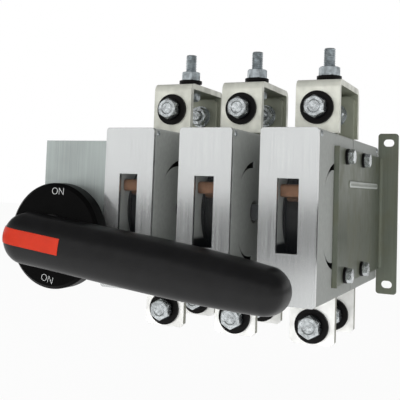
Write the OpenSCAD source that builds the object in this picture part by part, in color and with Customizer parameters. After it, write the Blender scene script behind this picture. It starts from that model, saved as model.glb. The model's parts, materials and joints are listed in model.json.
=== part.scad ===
// Three-pole changeover switch, two switch units back to back with bridging bars.
// Millimetres. +Z up, +X right, the wall behind at y = 0, the front towards -Y.
// Origin: wall face of the right mounting flange, on its slot line, at mid height.

/* [Poles] */
// Width of one pole
pole_w = 43; // [40:1:52]
// Distance between pole centres
pole_pitch = 65; // [62:1:80]
// Height of a pole
pole_h = 126; // [116:1:150]
// Depth of one switch unit's housing
unit_depth = 104; // [96:1:125]
// Gap between the front and rear units
unit_gap = 3; // [2:0.5:8]
// Thickness of the cover on each unit
cover_t = 3; // [2:0.5:5]
// Clearance between the rear covers and the wall
wall_gap = 3; // [2.5:0.5:10]
// Radius of the housing and cover edges
pole_edge_r = 2.5; // [1:0.5:5]
// Width of the sight window
window_w = 16; // [12:1:20]
// Height of the sight window
window_h = 53; // [40:1:60]
// Thickness of the clear pane
pane_t = 2; // [1:0.5:2.5]
// Distance from a cover's front to its rotor axis
rotor_setback = 52; // [48:1:60]
// Radius of the rotor drum
drum_r = 35; // [28:1:36]
// Width of the square shaft through the drums
shaft_w = 12; // [10:1:14]
// Diameter of the drum's bearing hubs
hub_d = 22; // [20:1:26]
// Thickness of the moving contacts
blade_t = 9; // [5:1:10]
// How far the moving contacts stand out of the drum
blade_reach = 4; // [2:0.5:4.5]
// Angle of the open contacts above horizontal
blade_open = 24; // [18:1:30]
// Outer radius of the curved side vents
vent_r = 40; // [36:1:44]
// Depth of the curved side vents
vent_depth = 6; // [3:1:8]

/* [Bars] */
// Distance from a pole's sides to the edges of its bars and lower terminals
bar_inset = 3.5; // [2:0.5:6]
// Thickness of the bars and terminals
bar_t = 5; // [4:0.5:8]
// Outer bend radius of the bridging bars
bend_r = 7; // [6:0.5:10]
// Depth of a bridging bar over both legs
bridge_depth = 72; // [68:1:90]
// Distance from the housing to each terminal bolt
bolt_offset = 22.5; // [20:0.5:26]
// How far the terminals stand out of the housing
terminal_reach = 39; // [37:1:50]
// Gap between the upper terminals or their washers and the web of a bridging bar
web_gap = 2; // [1:0.5:8]

/* [Fasteners] */
// Diameter of the terminal bolts and studs
bolt_d = 10; // [8:1:12]
// Width across flats of heads and nuts
hex_af = 16; // [13:1:19]
// Height of a bolt head
head_h = 6.5; // [5:0.5:8]
// Height of a nut
nut_h = 8; // [6:0.5:10]
// Diameter of the large black washers
washer_d = 27; // [22:1:30]
// Thickness of the large black washers
washer_t = 2.5; // [1.5:0.5:3]
// Diameter of the spring washers
spring_d = 18; // [16:1:21]
// Thickness of the spring washers
spring_t = 2.5; // [1.5:0.5:3]
// Length of stud above the nut
stud_tip = 16; // [8:1:30]
// Diameter of the tie rods across the poles
rod_d = 6; // [5:1:8]
// Width across flats of the tie rod nuts
rod_af = 10; // [8:1:13]
// Outer diameter of the spacers between the poles
spacer_d = 13; // [11:1:16]
// Distance between the front and rear tie rods
rod_span = 61; // [50:1:66]

/* [Side plates] */
// Thickness of the side plates
plate_t = 2; // [1.5:0.5:3]
// Distance from the top and bottom of the poles to the edges of the side plates
plate_inset = 10; // [8:1:16]
// Distance from the pole covers back to the front lip
lip_setback = 45; // [40:1:60]
// Width of the front lip
lip_w = 2; // [1:0.5:10]
// How far the wall flange stands past the side plate, up and down
flange_over = 23.5; // [20:0.5:32]
// Distance from the side plate to the slot line
slot_inset = 8; // [7.5:0.5:12]
// Distance from the ends of the flange to the slots
slot_end = 9; // [8:0.5:12]
// Width of a mounting slot
slot_w = 7; // [5.5:0.5:8]
// Length of a mounting slot
slot_l = 10; // [8:0.5:11]
// Material between a slot and the outer edge of the flange
slot_rim = 4; // [3:0.5:10]
// Outer bend radius between side plate and wall flange
plate_bend_r = 5; // [3:0.5:6]
// Distance from the front lip to the pressed rib
rib_front = 41; // [30:1:50]
// Distance from the wall to the pressed rib
rib_back = 16; // [12:1:40]
// Height of the pressed rib above mid height
rib_z = 25; // [15:1:32]
// Distance from the edges of the side plate to the tie rods
rod_edge = 6.5; // [6.5:0.5:9]

/* [Mechanism] */
// Width of the mechanism housing
mech_w = 60; // [50:1:72]
// Distance from the wall to the back of the mechanism housing
mech_wall_gap = 22; // [10:1:30]
// Distance from the pole covers back to the front panel
mech_setback = 8; // [4:1:14]
// Gap between the mechanism housing and the first pole
mech_gap = 4; // [3:1:8]
// Wall thickness of the mechanism housing
mech_wall = 1.5; // [1:0.5:3]
// Thickness of the front panel
panel_t = 1.5; // [1:0.5:3]

/* [Handle] */
// Diameter of the fixed position disc
disc_d = 83.5; // [70:0.5:90]
// Thickness of the position disc
disc_t = 14; // [10:1:18]
// Length of the collar between panel and disc
collar_l = 14; // [12:1:20]
// Height of the handle shaft below mid height
handle_drop = 24.5; // [20:0.5:30]
// Distance of the handle's centre line below the shaft
grip_offset = 3.8; // [0:0.2:5]
// Length of the grip from the shaft
grip_l = 200; // [160:1:240]
// Length of the pointer head from the shaft
pointer_l = 33.5; // [32:0.5:42]
// Width of the pointer head and of the grip beside it
grip_w = 41; // [34:1:46]
// Width of the grip at its tip
tip_w = 33; // [26:0.5:38]
// Thickness of the handle bar
grip_t = 25; // [20:1:30]
// Droop of the grip in the off position, degrees
grip_droop = 6.6; // [0:0.2:8]

/* [Hidden] */
$fn = 72;
pole_count = 3;
poles = [1 : pole_count];
// Clearances: turning parts, the lever's bearing, sides of the drums, bolts, washers, rods
run_clear = 0.3;
shaft_clear = 0.05;
side_clear = 0.5;
bolt_clear = 0.6;
washer_clear = 0.4;
root_gap = 1.5;

front_y = -(wall_gap + 2 * cover_t + 2 * unit_depth + unit_gap);
mid_y = front_y + cover_t + unit_depth + unit_gap / 2;
rotor_y = front_y + rotor_setback;
top_z = pole_h / 2;

plate_outer_x = -slot_inset;
pole_right_x = plate_outer_x - plate_t;
mech_x1 = pole_x(1) - mech_gap;
mech_x0 = mech_x1 - mech_w;
panel_y = front_y + mech_setback;
plate_depth = -front_y - lip_setback;
plate_h = pole_h - 2 * plate_inset;
flange_w = slot_inset + slot_l / 2 + slot_rim;
flange_h = plate_h + 2 * flange_over;
flange_corner_r = 3;
slot_pitch = flange_h - 2 * slot_end;
relief_h = 1;
relief_w = 1;

rib_r = 4;
rib_rise = 1.5;
rib_l = plate_depth - rib_front - rib_back;
rib_mid_y = -rib_back - rib_l / 2;

vent_inner_r = vent_r - 5.4;
vent_shift = 6.7;
vent_lean = 0.086;

chamber_w = window_w + 1;
chamber_r = drum_r + blade_reach + 1;
rim_r = drum_r + 2;
rim_t = 2;
core_d = hub_d + 4;
core_gap = 0.2;
drum_w = chamber_w - 2 * side_clear;
blade_w = drum_w - 2 * rim_t - 2;
hub_l = pole_w - 12;
hub_bore_l = hub_l + 1;
shaft_end = 4;
last_wall = 3;

bolt_hole_d = bolt_d + bolt_clear;
bolt_core_d = 0.9 * bolt_d;
bolt_end = 3;
washer_bore_d = bolt_d + washer_clear;
plain_d = 20;
plain_t = 2;
hex_chamfer = 1.2;

rod_ys = [mid_y - rod_span / 2, mid_y + rod_span / 2];
rod_z = plate_h / 2 - rod_edge;
rod_hole_d = rod_d + bolt_clear;
rod_bore_d = rod_d + washer_clear;
rod_head_h = 4.5;
rod_washer_d = 12.5;
rod_washer_t = 2;

tab_inset = 2.5;
bar_w = pole_w - 2 * bar_inset;
tab_w = bar_w - 2 * tab_inset;
leg_y = mid_y - bridge_depth / 2;
rear_leg_y = mid_y + bridge_depth / 2;
leg_gap = 2;
bolt_z = top_z + bolt_offset;
lower_bolt_z = bolt_z + 2;
web_z = max(top_z + terminal_reach, bolt_z + washer_d / 2) + web_gap + bar_t;
terminal_root = top_z - rod_z - rod_d / 2 - root_gap;
terminal_chamfer = 3;

// Plain, spring and cover washers under each stud nut
stud_washer_d = 21;
stud_stack = plain_t + spring_t + washer_t;
stud_taper = 1;

handle_x = (mech_x0 + mech_x1) / 2;
disc_back_y = panel_y - collar_l;
disc_y = disc_back_y - disc_t;
boss_h = 3;
boss_d = 34;
grip_y = disc_y - run_clear - boss_h;
shaft_hole_d = shaft_w * sqrt(2) + 2 * run_clear;
spindle_d = 14;
collar_d = 50;
// Height of the handle's straight sides above its back, and the power that rounds its crown
grip_side = 8;
crown_power = 0.8;
// Widest part of the grip ends and its taper begins here
grip_straight = 95;
grip_taper = 150;
taper_w = 38;
insert_end = 26;
insert_w = 12.5;
insert_rise = 1;
insert_t = 2;

// Left side of pole i, counted from the mechanism
function pole_x(i) = pole_right_x - pole_w - (pole_count - i) * pole_pitch;
function pole_cx(i) = pole_x(i) + pole_w / 2;

// ---- Placing helpers ----

// Extrudes an X-Z outline from y0 towards the wall
module slab_y(y0, t) {
    translate([0, y0 + t, 0]) rotate([90, 0, 0]) linear_extrude(t) children();
}

// Extrudes a Y-Z outline from x0 to the right
module slab_x(x0, t) {
    translate([x0, 0, 0]) rotate([90, 0, 90]) linear_extrude(t) children();
}

module cyl_y(y0, d, l) {
    translate([0, y0 + l, 0]) rotate([90, 0, 0]) cylinder(d = d, h = l);
}

module cyl_x(x0, d, l) {
    translate([x0, 0, 0]) rotate([0, 90, 0]) cylinder(d = d, h = l);
}

// The rear unit is the front unit turned to face the wall
module unit(rear) {
    if (rear) translate([0, 2 * mid_y, 0]) mirror([0, 1, 0]) children();
    else children();
}

module rounded_rect(w, h, r) {
    hull_w = w - 2 * r;
    union() {
        square([w, h - 2 * r], center = true);
        square([hull_w, h], center = true);
        for (sx = [-1, 1]) for (sz = [-1, 1])
            translate([sx * hull_w / 2, sz * (h / 2 - r)]) circle(r);
    }
}

// Hexagon with chamfered corners, standing on z = 0 along +Z
module hex(af, h, both = false) {
    intersection() {
        cylinder(d = af / cos(30), h = h, $fn = 6);
        rotate_extrude() polygon([
            [0, 0],
            [both ? af / 2 : af / 2 + 2, 0],
            [af / 2 + 2, both ? hex_chamfer : 0],
            [af / 2 + 2, h - hex_chamfer],
            [af / 2, h],
            [0, h]
        ]);
    }
}

module ring_y(y0, d_out, d_in, t) {
    difference() {
        cyl_y(y0, d_out, t);
        cyl_y(y0 - 1, d_in, t + 2);
    }
}

module ring_x(x0, d_out, d_in, t) {
    difference() {
        cyl_x(x0, d_out, t);
        cyl_x(x0 - 1, d_in, t + 2);
    }
}

// ---- Side plates ----

// Obround slot along X in the X-Z plane
module slot_outline() {
    run = slot_l - slot_w;
    square([run, slot_w], center = true);
    for (s = [-1, 1]) translate([s * run / 2, 0]) circle(d = slot_w);
}

// Plan of the bent sheet in X-Y: front lip, web against the poles, wall flange
module plate_plan() {
    bend_in_r = max(plate_bend_r - plate_t, 0.5);
    union() {
        translate([-plate_t, -plate_depth]) square([plate_t + lip_w, plate_t]);
        translate([-plate_t, -plate_depth]) square([plate_t, plate_depth - plate_bend_r]);
        translate([bend_in_r, -plate_t]) square([flange_w - bend_in_r, plate_t]);
        translate([bend_in_r, -plate_bend_r])
            difference() {
                intersection() {
                    circle(plate_bend_r);
                    translate([-plate_bend_r, 0]) square(plate_bend_r);
                }
                circle(bend_in_r);
            }
    }
}

// Wall flange past one end of the web, its corners rounded
module flange_ear() {
    ear_h = (flange_h - plate_h) / 2;
    w = flange_w + plate_t;
    r = flange_corner_r;
    slab_y(-plate_t, plate_t) translate([-plate_t, plate_h / 2]) union() {
        square([w, ear_h - r]);
        translate([r, 0]) square([w - 2 * r, ear_h]);
        for (x = [r, w - r]) translate([x, ear_h - r]) circle(r);
    }
}

module side_plate() {
    color("#6f7469")
    difference() {
        union() {
            translate([0, 0, -plate_h / 2]) linear_extrude(plate_h) plate_plan();
            for (s = [0, 1]) mirror([0, 0, s]) flange_ear();
            // Pressed rib
            rib();
        }
        for (s = [-1, 1]) {
            slab_y(-plate_t - 1, plate_t + 2) translate([slot_inset, s * slot_pitch / 2]) slot_outline();
            // Bend reliefs
            translate([-plate_t - 1, -plate_bend_r - relief_w, s * (plate_h - relief_h) / 2 - relief_h / 2])
                cube([plate_bend_r + 1, plate_bend_r + relief_w - plate_t, relief_h]);
            for (y = rod_ys) translate([0, y, s * rod_z]) cyl_x(-plate_t - 1, rod_hole_d, plate_t + 2);
        }
        // Hollow behind the rib
        rib_groove();
    }
}

// A round-ended bead: a rod sunk into the web so that only its crown stands proud
module rib_form(r) {
    run = rib_l - 2 * r;
    translate([rib_rise - rib_r, rib_mid_y - run / 2, rib_z]) rotate([-90, 0, 0]) cylinder(r = r, h = run);
    for (s = [-1, 1]) translate([rib_rise - rib_r, rib_mid_y + s * run / 2, rib_z]) sphere(r);
}

module rib() {
    intersection() {
        rib_form(rib_r);
        translate([-plate_t / 2, -plate_depth, -plate_h / 2]) cube([plate_t + rib_rise, plate_depth, plate_h]);
    }
}

module rib_groove() {
    intersection() {
        rib_form(rib_r - plate_t);
        translate([-plate_t - 1, -plate_depth, -plate_h / 2]) cube([plate_t + rib_rise + 1, plate_depth, plate_h]);
    }
}

module right_side_plate() {
    translate([plate_outer_x, 0, 0]) side_plate();
}

module left_side_plate() {
    translate([mech_x0 - plate_t, 0, 0]) mirror([1, 0, 0]) side_plate();
}

// ---- Tie rods ----

module at_rods() {
    for (y = rod_ys) for (s = [-1, 1]) translate([0, y, s * rod_z]) children();
}

module tie_rods() {
    x0 = mech_x0 - plate_t - rod_washer_t;
    x1 = plate_outer_x + rod_washer_t;
    color("#b9bcc0")
    at_rods() {
        union() {
            cyl_x(x0 - rod_head_h - bolt_end, rod_d, x1 - x0 + rod_head_h + bolt_end);
            translate([x1, 0, 0]) rotate([0, 90, 0]) hex(rod_af, rod_head_h);
            translate([x0, 0, 0]) rotate([0, -90, 0]) hex(rod_af, rod_head_h);
        }
    }
}

module tie_rod_washers() {
    color("#141414")
    at_rods() {
        ring_x(plate_outer_x, rod_washer_d, rod_bore_d, rod_washer_t);
        ring_x(mech_x0 - plate_t - rod_washer_t, rod_washer_d, rod_bore_d, rod_washer_t);
    }
}

module pole_spacers() {
    color("#3a3c3e")
    at_rods() {
        ring_x(mech_x1, spacer_d, rod_bore_d, mech_gap);
        for (i = [1 : pole_count - 1])
            ring_x(pole_x(i) + pole_w, spacer_d, rod_bore_d, pole_pitch - pole_w);
    }
}

// ---- Poles ----

// Tapered arc: pointed at the front, blunt near the top or bottom
module vent_outline() {
    far = 2 * vent_r;
    for (s = [-1, 1])
        intersection() {
            difference() {
                circle(vent_r);
                translate([-vent_shift, 0]) circle(vent_inner_r);
            }
            polygon([[0, 0], [-far, 0], [-far, s * far], [-vent_lean * far, s * far]]);
        }
}

module pole_housing(i, rear) {
    x0 = pole_x(i);
    body_y = front_y + cover_t;
    color("#77797b")
    unit(rear)
    difference() {
        slab_y(body_y, unit_depth)
            translate([x0 + pole_w / 2, 0]) rounded_rect(pole_w, pole_h, pole_edge_r);
        // Contact chamber behind the window
        translate([x0 + (pole_w - chamber_w) / 2, rotor_y, 0]) cyl_x(0, 2 * chamber_r, chamber_w);
        translate([x0 + (pole_w - chamber_w) / 2, body_y - 1, -window_h / 2 - 1])
            cube([chamber_w, rotor_setback - cover_t + 1, window_h + 2]);
        // Bearing bores for the drum's hubs; the shaft passes every side but the last
        translate([pole_cx(i) - hub_bore_l / 2, rotor_y, 0]) cyl_x(0, hub_d + 2 * run_clear, hub_bore_l);
        translate([x0 - 1, rotor_y, 0])
            cyl_x(0, shaft_hole_d, i < pole_count ? pole_w + 2 : pole_w + 1 - last_wall);
        // Curved vents in both sides
        for (x = [x0 - 1, x0 + pole_w - vent_depth])
            slab_x(x, vent_depth + 1) translate([rotor_y, 0]) vent_outline();
        // Slots for the upper and lower terminals
        translate([pole_cx(i) - tab_w / 2, leg_y + bar_t, top_z - terminal_root])
            cube([tab_w, bar_t, terminal_root + 1]);
        translate([pole_cx(i) - bar_w / 2, leg_y, -top_z - 1]) cube([bar_w, bar_t, terminal_root + 1]);
        // Tie rod holes
        for (s = [-1, 1]) translate([x0 - 1, rod_ys[0], s * rod_z]) cyl_x(0, rod_hole_d, pole_w + 2);
    }
}

module pole_cover(i, rear) {
    color("#d3d5d6")
    unit(rear)
    slab_y(front_y, cover_t) translate([pole_cx(i), 0])
        difference() {
            rounded_rect(pole_w, pole_h, pole_edge_r);
            square([window_w, window_h], center = true);
        }
}

module windows(rear) {
    color("#9fb0b8", 0.35)
    unit(rear)
    for (i = poles)
        translate([pole_cx(i) - window_w / 2, front_y + (cover_t - pane_t) / 2, -window_h / 2])
            cube([window_w, pane_t, window_h]);
}

// Square shaft from the mechanism through every drum
module shaft(rear) {
    x0 = mech_x1 - mech_wall - shaft_end;
    color("#3b3d3f")
    unit(rear)
    translate([x0, rotor_y - shaft_w / 2, -shaft_w / 2]) cube([pole_right_x - last_wall - 1 - x0, shaft_w, shaft_w]);
}

// A rimmed drum with bearing hubs, a square hole and two contact slots
module drum() {
    difference() {
        union() {
            cyl_x(rim_t / 2 - drum_w / 2, 2 * drum_r, drum_w - rim_t);
            cyl_x(-hub_l / 2, hub_d, hub_l);
            for (x = [-drum_w / 2, drum_w / 2 - rim_t]) cyl_x(x, 2 * rim_r, rim_t);
        }
        cube([hub_l + 2, shaft_w, shaft_w], center = true);
        contact_bars(2 * rim_r, core_d);
    }
}

module drums(rear) {
    color("#242526")
    unit(rear)
    for (i = poles) translate([pole_cx(i), rotor_y, 0]) drum();
}

// Contact bar across the drum at the open position, broken by the core
module contact_bars(l, core) {
    difference() {
        rotate([-blade_open, 0, 0]) cube([blade_w, l, blade_t], center = true);
        cyl_x(-chamber_w, core, 2 * chamber_w);
    }
}

module contacts(rear) {
    color("#a5673c")
    unit(rear)
    for (i = poles)
        translate([pole_cx(i), rotor_y, 0])
            intersection() {
                contact_bars(2 * (drum_r + blade_reach) + 2, core_d + 2 * core_gap);
                cyl_x(-chamber_w, 2 * (drum_r + blade_reach), 2 * chamber_w);
            }
}

// ---- Bars and terminals ----

// Side profile of the bridge in Y-Z, two round bends
module bridge_outline() {
    leg_h = web_z - top_z - leg_gap;
    module bent(d, h, r) {
        union() {
            translate([-d / 2, 0]) square([d, h - r]);
            translate([-d / 2 + r, 0]) square([d - 2 * r, h]);
            for (s = [-1, 1]) translate([s * (d / 2 - r), h - r]) circle(r);
        }
    }
    difference() {
        bent(bridge_depth, leg_h, bend_r);
        translate([0, -1]) bent(bridge_depth - 2 * bar_t, leg_h - bar_t + 1, bend_r - bar_t);
    }
}

module bridge_bar(i) {
    color("#bdb8a8")
    difference() {
        slab_x(pole_cx(i) - bar_w / 2, bar_w) translate([mid_y, top_z + leg_gap]) bridge_outline();
        for (y = [leg_y, rear_leg_y - bar_t])
            translate([pole_cx(i), 0, bolt_z]) cyl_y(y - 1, bolt_hole_d, bar_t + 2);
        translate([pole_cx(i), mid_y, web_z - bar_t - 1]) cylinder(d = bolt_hole_d, h = bar_t + 2);
    }
}

// Flat terminal with a bolt hole at z and chamfered end; s = 1 is up, -1 is down
module terminal(i, s, w, y, z) {
    z_root = top_z - terminal_root;
    z_tip = top_z + terminal_reach;
    c = terminal_chamfer;
    slab_y(y, bar_t) translate([pole_cx(i), 0])
        difference() {
            polygon([for (p = [
                [-w / 2, z_root], [w / 2, z_root], [w / 2, z_tip - c],
                [w / 2 - c, z_tip], [-w / 2 + c, z_tip], [-w / 2, z_tip - c]
            ]) [p[0], s * p[1]]]);
            translate([0, s * z]) circle(d = bolt_hole_d);
        }
}

module upper_terminals(rear) {
    color("#c9c5b8")
    unit(rear)
    for (i = poles) terminal(i, 1, tab_w, leg_y + bar_t, bolt_z);
}

module lower_terminals(rear) {
    color("#d9d7cf")
    unit(rear)
    for (i = poles) terminal(i, -1, bar_w, leg_y, lower_bolt_z);
}

// ---- Terminal fasteners ----
// Every clamped stack as [face y, clamped thickness, z, side its head faces: 0 front, 1 wall]
bolt_stacks = [
    [leg_y, 2 * bar_t, bolt_z, 0],
    [rear_leg_y, 2 * bar_t, bolt_z, 1],
    [leg_y, bar_t, -lower_bolt_z, 0],
    [rear_leg_y - bar_t, bar_t, -lower_bolt_z, 0]
];

module at_stacks() {
    for (i = poles) for (k = bolt_stacks) translate([pole_cx(i), k[0], k[2]]) mirror([0, k[3], 0]) {
        $grip = k[1];
        children();
    }
}

module terminal_bolts() {
    under_head = washer_t + spring_t;
    color("#c4c7c9")
    at_stacks() union() {
        translate([0, -under_head, 0]) rotate([90, 0, 0]) hex(hex_af, head_h);
        cyl_y(-under_head, bolt_d, under_head + $grip + plain_t + nut_h + bolt_end);
    }
}

module terminal_washers() {
    color("#121212")
    at_stacks() ring_y(-washer_t, washer_d, washer_bore_d, washer_t);
}

module terminal_plain_washers() {
    color("#a9adaf")
    at_stacks() ring_y($grip, plain_d, washer_bore_d, plain_t);
}

module terminal_spring_washers() {
    color("#8d9093")
    at_stacks() ring_y(-washer_t - spring_t, spring_d, washer_bore_d, spring_t);
}

module terminal_nuts() {
    color("#b7babd")
    at_stacks() difference() {
        translate([0, $grip + plain_t, 0]) rotate([-90, 0, 0]) hex(hex_af, nut_h, true);
        cyl_y($grip, bolt_d, nut_h + 2 * plain_t);
    }
}

// ---- Studs on the bridges ----
module at_studs() {
    for (i = poles) translate([pole_cx(i), mid_y, web_z]) children();
}

module bridge_studs() {
    color("#8f969b")
    at_studs() union() {
        translate([0, 0, -bar_t]) mirror([0, 0, 1]) hex(hex_af, head_h);
        translate([0, 0, -bar_t]) cylinder(d = bolt_core_d, h = bar_t + stud_stack + nut_h);
        translate([0, 0, stud_stack + nut_h]) {
            cylinder(d = bolt_d, h = stud_tip - stud_taper);
            translate([0, 0, stud_tip - stud_taper])
                cylinder(d1 = bolt_d, d2 = bolt_d - 2 * stud_taper, h = stud_taper);
        }
    }
}

module bridge_stud_nuts() {
    color("#b7babd")
    at_studs() difference() {
        translate([0, 0, stud_stack]) hex(hex_af, nut_h, true);
        cylinder(d = bolt_core_d, h = stud_stack + nut_h + 1);
    }
}

module washer_z(z0, d, t) {
    translate([0, 0, z0]) difference() {
        cylinder(d = d, h = t);
        translate([0, 0, -1]) cylinder(d = washer_bore_d, h = t + 2);
    }
}

module bridge_stud_washers() {
    color("#1a1a1a")
    at_studs() {
        washer_z(0, plain_d, plain_t);
        washer_z(plain_t, spring_d, spring_t);
        washer_z(plain_t + spring_t, stud_washer_d, washer_t);
    }
}

// ---- Mechanism ----

module mechanism_housing() {
    y0 = panel_y + panel_t;
    mech_d = -mech_wall_gap - y0;
    color("#8c8f8d")
    difference() {
        translate([mech_x0, y0, -plate_h / 2]) cube([mech_w, mech_d, plate_h]);
        translate([mech_x0 + mech_wall, y0 - 1, -plate_h / 2 + mech_wall])
            cube([mech_w - 2 * mech_wall, mech_d - mech_wall + 1, plate_h - 2 * mech_wall]);
        for (y = [rotor_y, 2 * mid_y - rotor_y])
            translate([mech_x1 - mech_wall - 1, y, 0]) cyl_x(0, shaft_hole_d, mech_wall + 2);
        at_rods() cyl_x(mech_x0 - 1, rod_hole_d, mech_w + 2);
    }
}

module front_panel() {
    color("#b4b8b8")
    difference() {
        translate([mech_x0, panel_y, -plate_h / 2]) cube([mech_w, panel_t, plate_h]);
        translate([handle_x, 0, -handle_drop]) cyl_y(panel_y - 1, spindle_d + 2, panel_t + 2);
    }
}

module handle_collar() {
    color("#1d1d1e")
    translate([handle_x, 0, -handle_drop]) difference() {
        cyl_y(disc_back_y, collar_d, collar_l);
        cyl_y(disc_back_y - 1, spindle_d + 2, collar_l + 2);
    }
}

module handle_disc() {
    r = disc_d / 2;
    bevel = 2.5;
    color("#161617")
    translate([handle_x, disc_back_y, -handle_drop]) rotate([90, 0, 0])
        rotate_extrude() {
            bore_r = spindle_d / 2 + shaft_clear;
            polygon([
                [bore_r, 0], [r, 0], [r, disc_t - bevel], [r - bevel, disc_t], [bore_r, disc_t]
            ]);
        }
}

// ---- Handle, drawn along +X from the shaft and then drooped ----

module handle_frame() {
    translate([handle_x, 0, -handle_drop]) rotate([0, grip_droop, 0]) children();
}

// A round station of the handle with a crowned front, back face on y = 0, its skin moved in by d
module grip_station(x, w, d) {
    r = w / 2 - d;
    crown = grip_t - grip_side - d;
    arc = [for (a = [9 : 9 : 81]) [r * pow(cos(a), crown_power), grip_side + crown * pow(sin(a), crown_power)]];
    translate([x, 0, -grip_offset]) rotate([90, 0, 0])
        rotate_extrude($fn = 48)
            polygon(concat([[0, 0], [r - 2, 0], [r, 2], [r, grip_side]], arc, [[0, grip_t - d]]));
}

module grip_form(d) {
    translate([0, grip_y, 0]) hull() {
        grip_station(grip_w / 2 - pointer_l, grip_w, d);
        grip_station(grip_straight, grip_w - 1, d);
        grip_station(grip_taper, taper_w, d);
        grip_station(grip_l - tip_w / 2, tip_w, d);
    }
}

// The insert's place: from past the pointer's end, over its rolled edge, to insert_end
module insert_place() {
    translate([-pointer_l - 1, grip_y - grip_t - 1, insert_rise - grip_offset - insert_w / 2])
        cube([insert_end + pointer_l + 1, grip_t - grip_side + 1, insert_w]);
}

module handle_grip() {
    spindle_l = boss_h + disc_t + collar_l + 2;
    color("#222324")
    handle_frame() {
        difference() {
            grip_form(0);
            difference() {
                insert_place();
                grip_form(insert_t);
            }
        }
        cyl_y(grip_y, boss_d, boss_h);
        cyl_y(grip_y, spindle_d, spindle_l);
    }
}

module handle_insert() {
    color("#cf3a2c")
    handle_frame() difference() {
        intersection() {
            insert_place();
            grip_form(0);
        }
        grip_form(insert_t);
    }
}

right_side_plate();
left_side_plate();
tie_rods();
tie_rod_washers();
pole_spacers();
for (i = poles) pole_housing(i, false);
for (i = poles) pole_housing(i, true);
for (i = poles) pole_cover(i, false);
for (i = poles) pole_cover(i, true);
windows(false);  // front_windows
windows(true);  // rear_windows
shaft(false);  // front_shaft
shaft(true);  // rear_shaft
drums(false);  // front_drums
drums(true);  // rear_drums
contacts(false);  // front_contacts
contacts(true);  // rear_contacts
for (i = poles) bridge_bar(i);
upper_terminals(false);  // front_upper_terminals
upper_terminals(true);  // rear_upper_terminals
lower_terminals(false);  // front_lower_terminals
lower_terminals(true);  // rear_lower_terminals
terminal_bolts();
terminal_washers();
terminal_plain_washers();
terminal_spring_washers();
terminal_nuts();
bridge_studs();
bridge_stud_nuts();
bridge_stud_washers();
mechanism_housing();
front_panel();
handle_collar();
handle_disc();
handle_grip();
handle_insert();
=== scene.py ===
"""Finishes, lettering, threads, lever and studio for a three-pole changeover switch.

Metres, +Z up, +X right, the wall behind at y = 0 and the front towards -Y. Every place comes from
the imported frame; the sizes below are the small details that the frame leaves out.
"""

import itertools
import json
import math

import bmesh
import bpy
import numpy as np
from bpy.props import FloatProperty, FloatVectorProperty, IntProperty, PointerProperty
from mathutils import Matrix, Vector


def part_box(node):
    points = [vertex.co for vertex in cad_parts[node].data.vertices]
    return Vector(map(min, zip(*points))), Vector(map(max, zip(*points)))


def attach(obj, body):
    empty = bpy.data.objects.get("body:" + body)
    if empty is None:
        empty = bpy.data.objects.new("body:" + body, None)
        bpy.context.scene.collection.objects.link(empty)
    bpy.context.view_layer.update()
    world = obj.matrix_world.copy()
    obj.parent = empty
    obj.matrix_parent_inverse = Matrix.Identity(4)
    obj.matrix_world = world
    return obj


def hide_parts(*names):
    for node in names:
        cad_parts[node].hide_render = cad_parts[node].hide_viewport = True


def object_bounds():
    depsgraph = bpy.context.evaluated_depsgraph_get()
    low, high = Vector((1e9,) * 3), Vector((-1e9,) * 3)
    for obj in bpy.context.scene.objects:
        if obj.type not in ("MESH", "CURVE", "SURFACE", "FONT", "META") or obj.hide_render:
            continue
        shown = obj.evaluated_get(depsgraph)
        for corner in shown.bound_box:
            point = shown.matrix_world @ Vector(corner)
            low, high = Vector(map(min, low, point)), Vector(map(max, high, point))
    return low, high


bl_info = {
    "name": "Changeover Switch",
    "version": (1, 0, 0),
    "blender": (4, 5, 0),
    "location": "View3D > Sidebar > Switch",
    "description": "Finishes, lettering, threads, lever and studio of a changeover switch",
    "category": "Object",
}

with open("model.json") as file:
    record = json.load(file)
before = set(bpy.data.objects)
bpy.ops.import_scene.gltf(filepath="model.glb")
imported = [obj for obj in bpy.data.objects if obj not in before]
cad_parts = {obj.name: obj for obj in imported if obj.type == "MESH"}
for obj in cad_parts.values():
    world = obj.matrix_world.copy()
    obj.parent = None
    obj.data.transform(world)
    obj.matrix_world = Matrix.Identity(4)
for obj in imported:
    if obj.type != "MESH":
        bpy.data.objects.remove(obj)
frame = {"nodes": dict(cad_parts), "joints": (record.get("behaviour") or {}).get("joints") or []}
cad_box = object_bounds()

MM = 0.001
POLES = (1, 2, 3)
# Each row of poles, with the way along Y from its windows into the poles
ROWS = {"front": 1, "rear": -1}

# Small places in millimetres: a cover screw from its pole's front and top, half of its driver
# slot, a fixed contact behind its pane and below the pane's top, and a spring washer's play
SCREW_INSET = 4.0
SLOT_HALF_WIDTH = 0.45
JAW_BEHIND, JAW_BELOW = 3.5, 4.0
SPRING_PLAY = 0.2
# Height of the driver slot's floor as a share of the screw's
SLOT_FLOOR = 0.4

# Words on the disc: place right of and above the shaft in millimetres, and turn in degrees
WORDS = {"on_above": (3.6, 35.0, -1.0), "on_below": (-2.9, -34.1, -13.0)}
# Height and width of a capital as shares of the font's, and what its strokes lose, in millimetres
CAPITAL_HEIGHT, CAPITAL_WIDTH = 0.72, 0.95
STROKE_LOSS = 0.18
# The share of its thickness that a letter's middle stands off the disc: less than a half sinks it
LETTER_STAND = 0.4

# Half width of the lever at distances along its centre line from the shaft, in millimetres
LEVER_HALF_WIDTHS = ((-13.0, 20.5), (40.0, 20.5), (95.0, 20.0), (150.0, 19.0), (183.5, 16.5))
# The centre line passes this far below the shaft, and the insert's middle this far above the line
LEVER_OFFSET = 3.8
INSERT_RISE = 1.0
# Degrees that the lever hangs down to the right
LEVER_DROOP = 6.6
# Inset and height of each step of the lever's rolled edge, in millimetres
LEVER_ROLL = ((2.5, 0.0), (1.0, 0.5), (0.2, 1.6), (0.0, 3.0))
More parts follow.
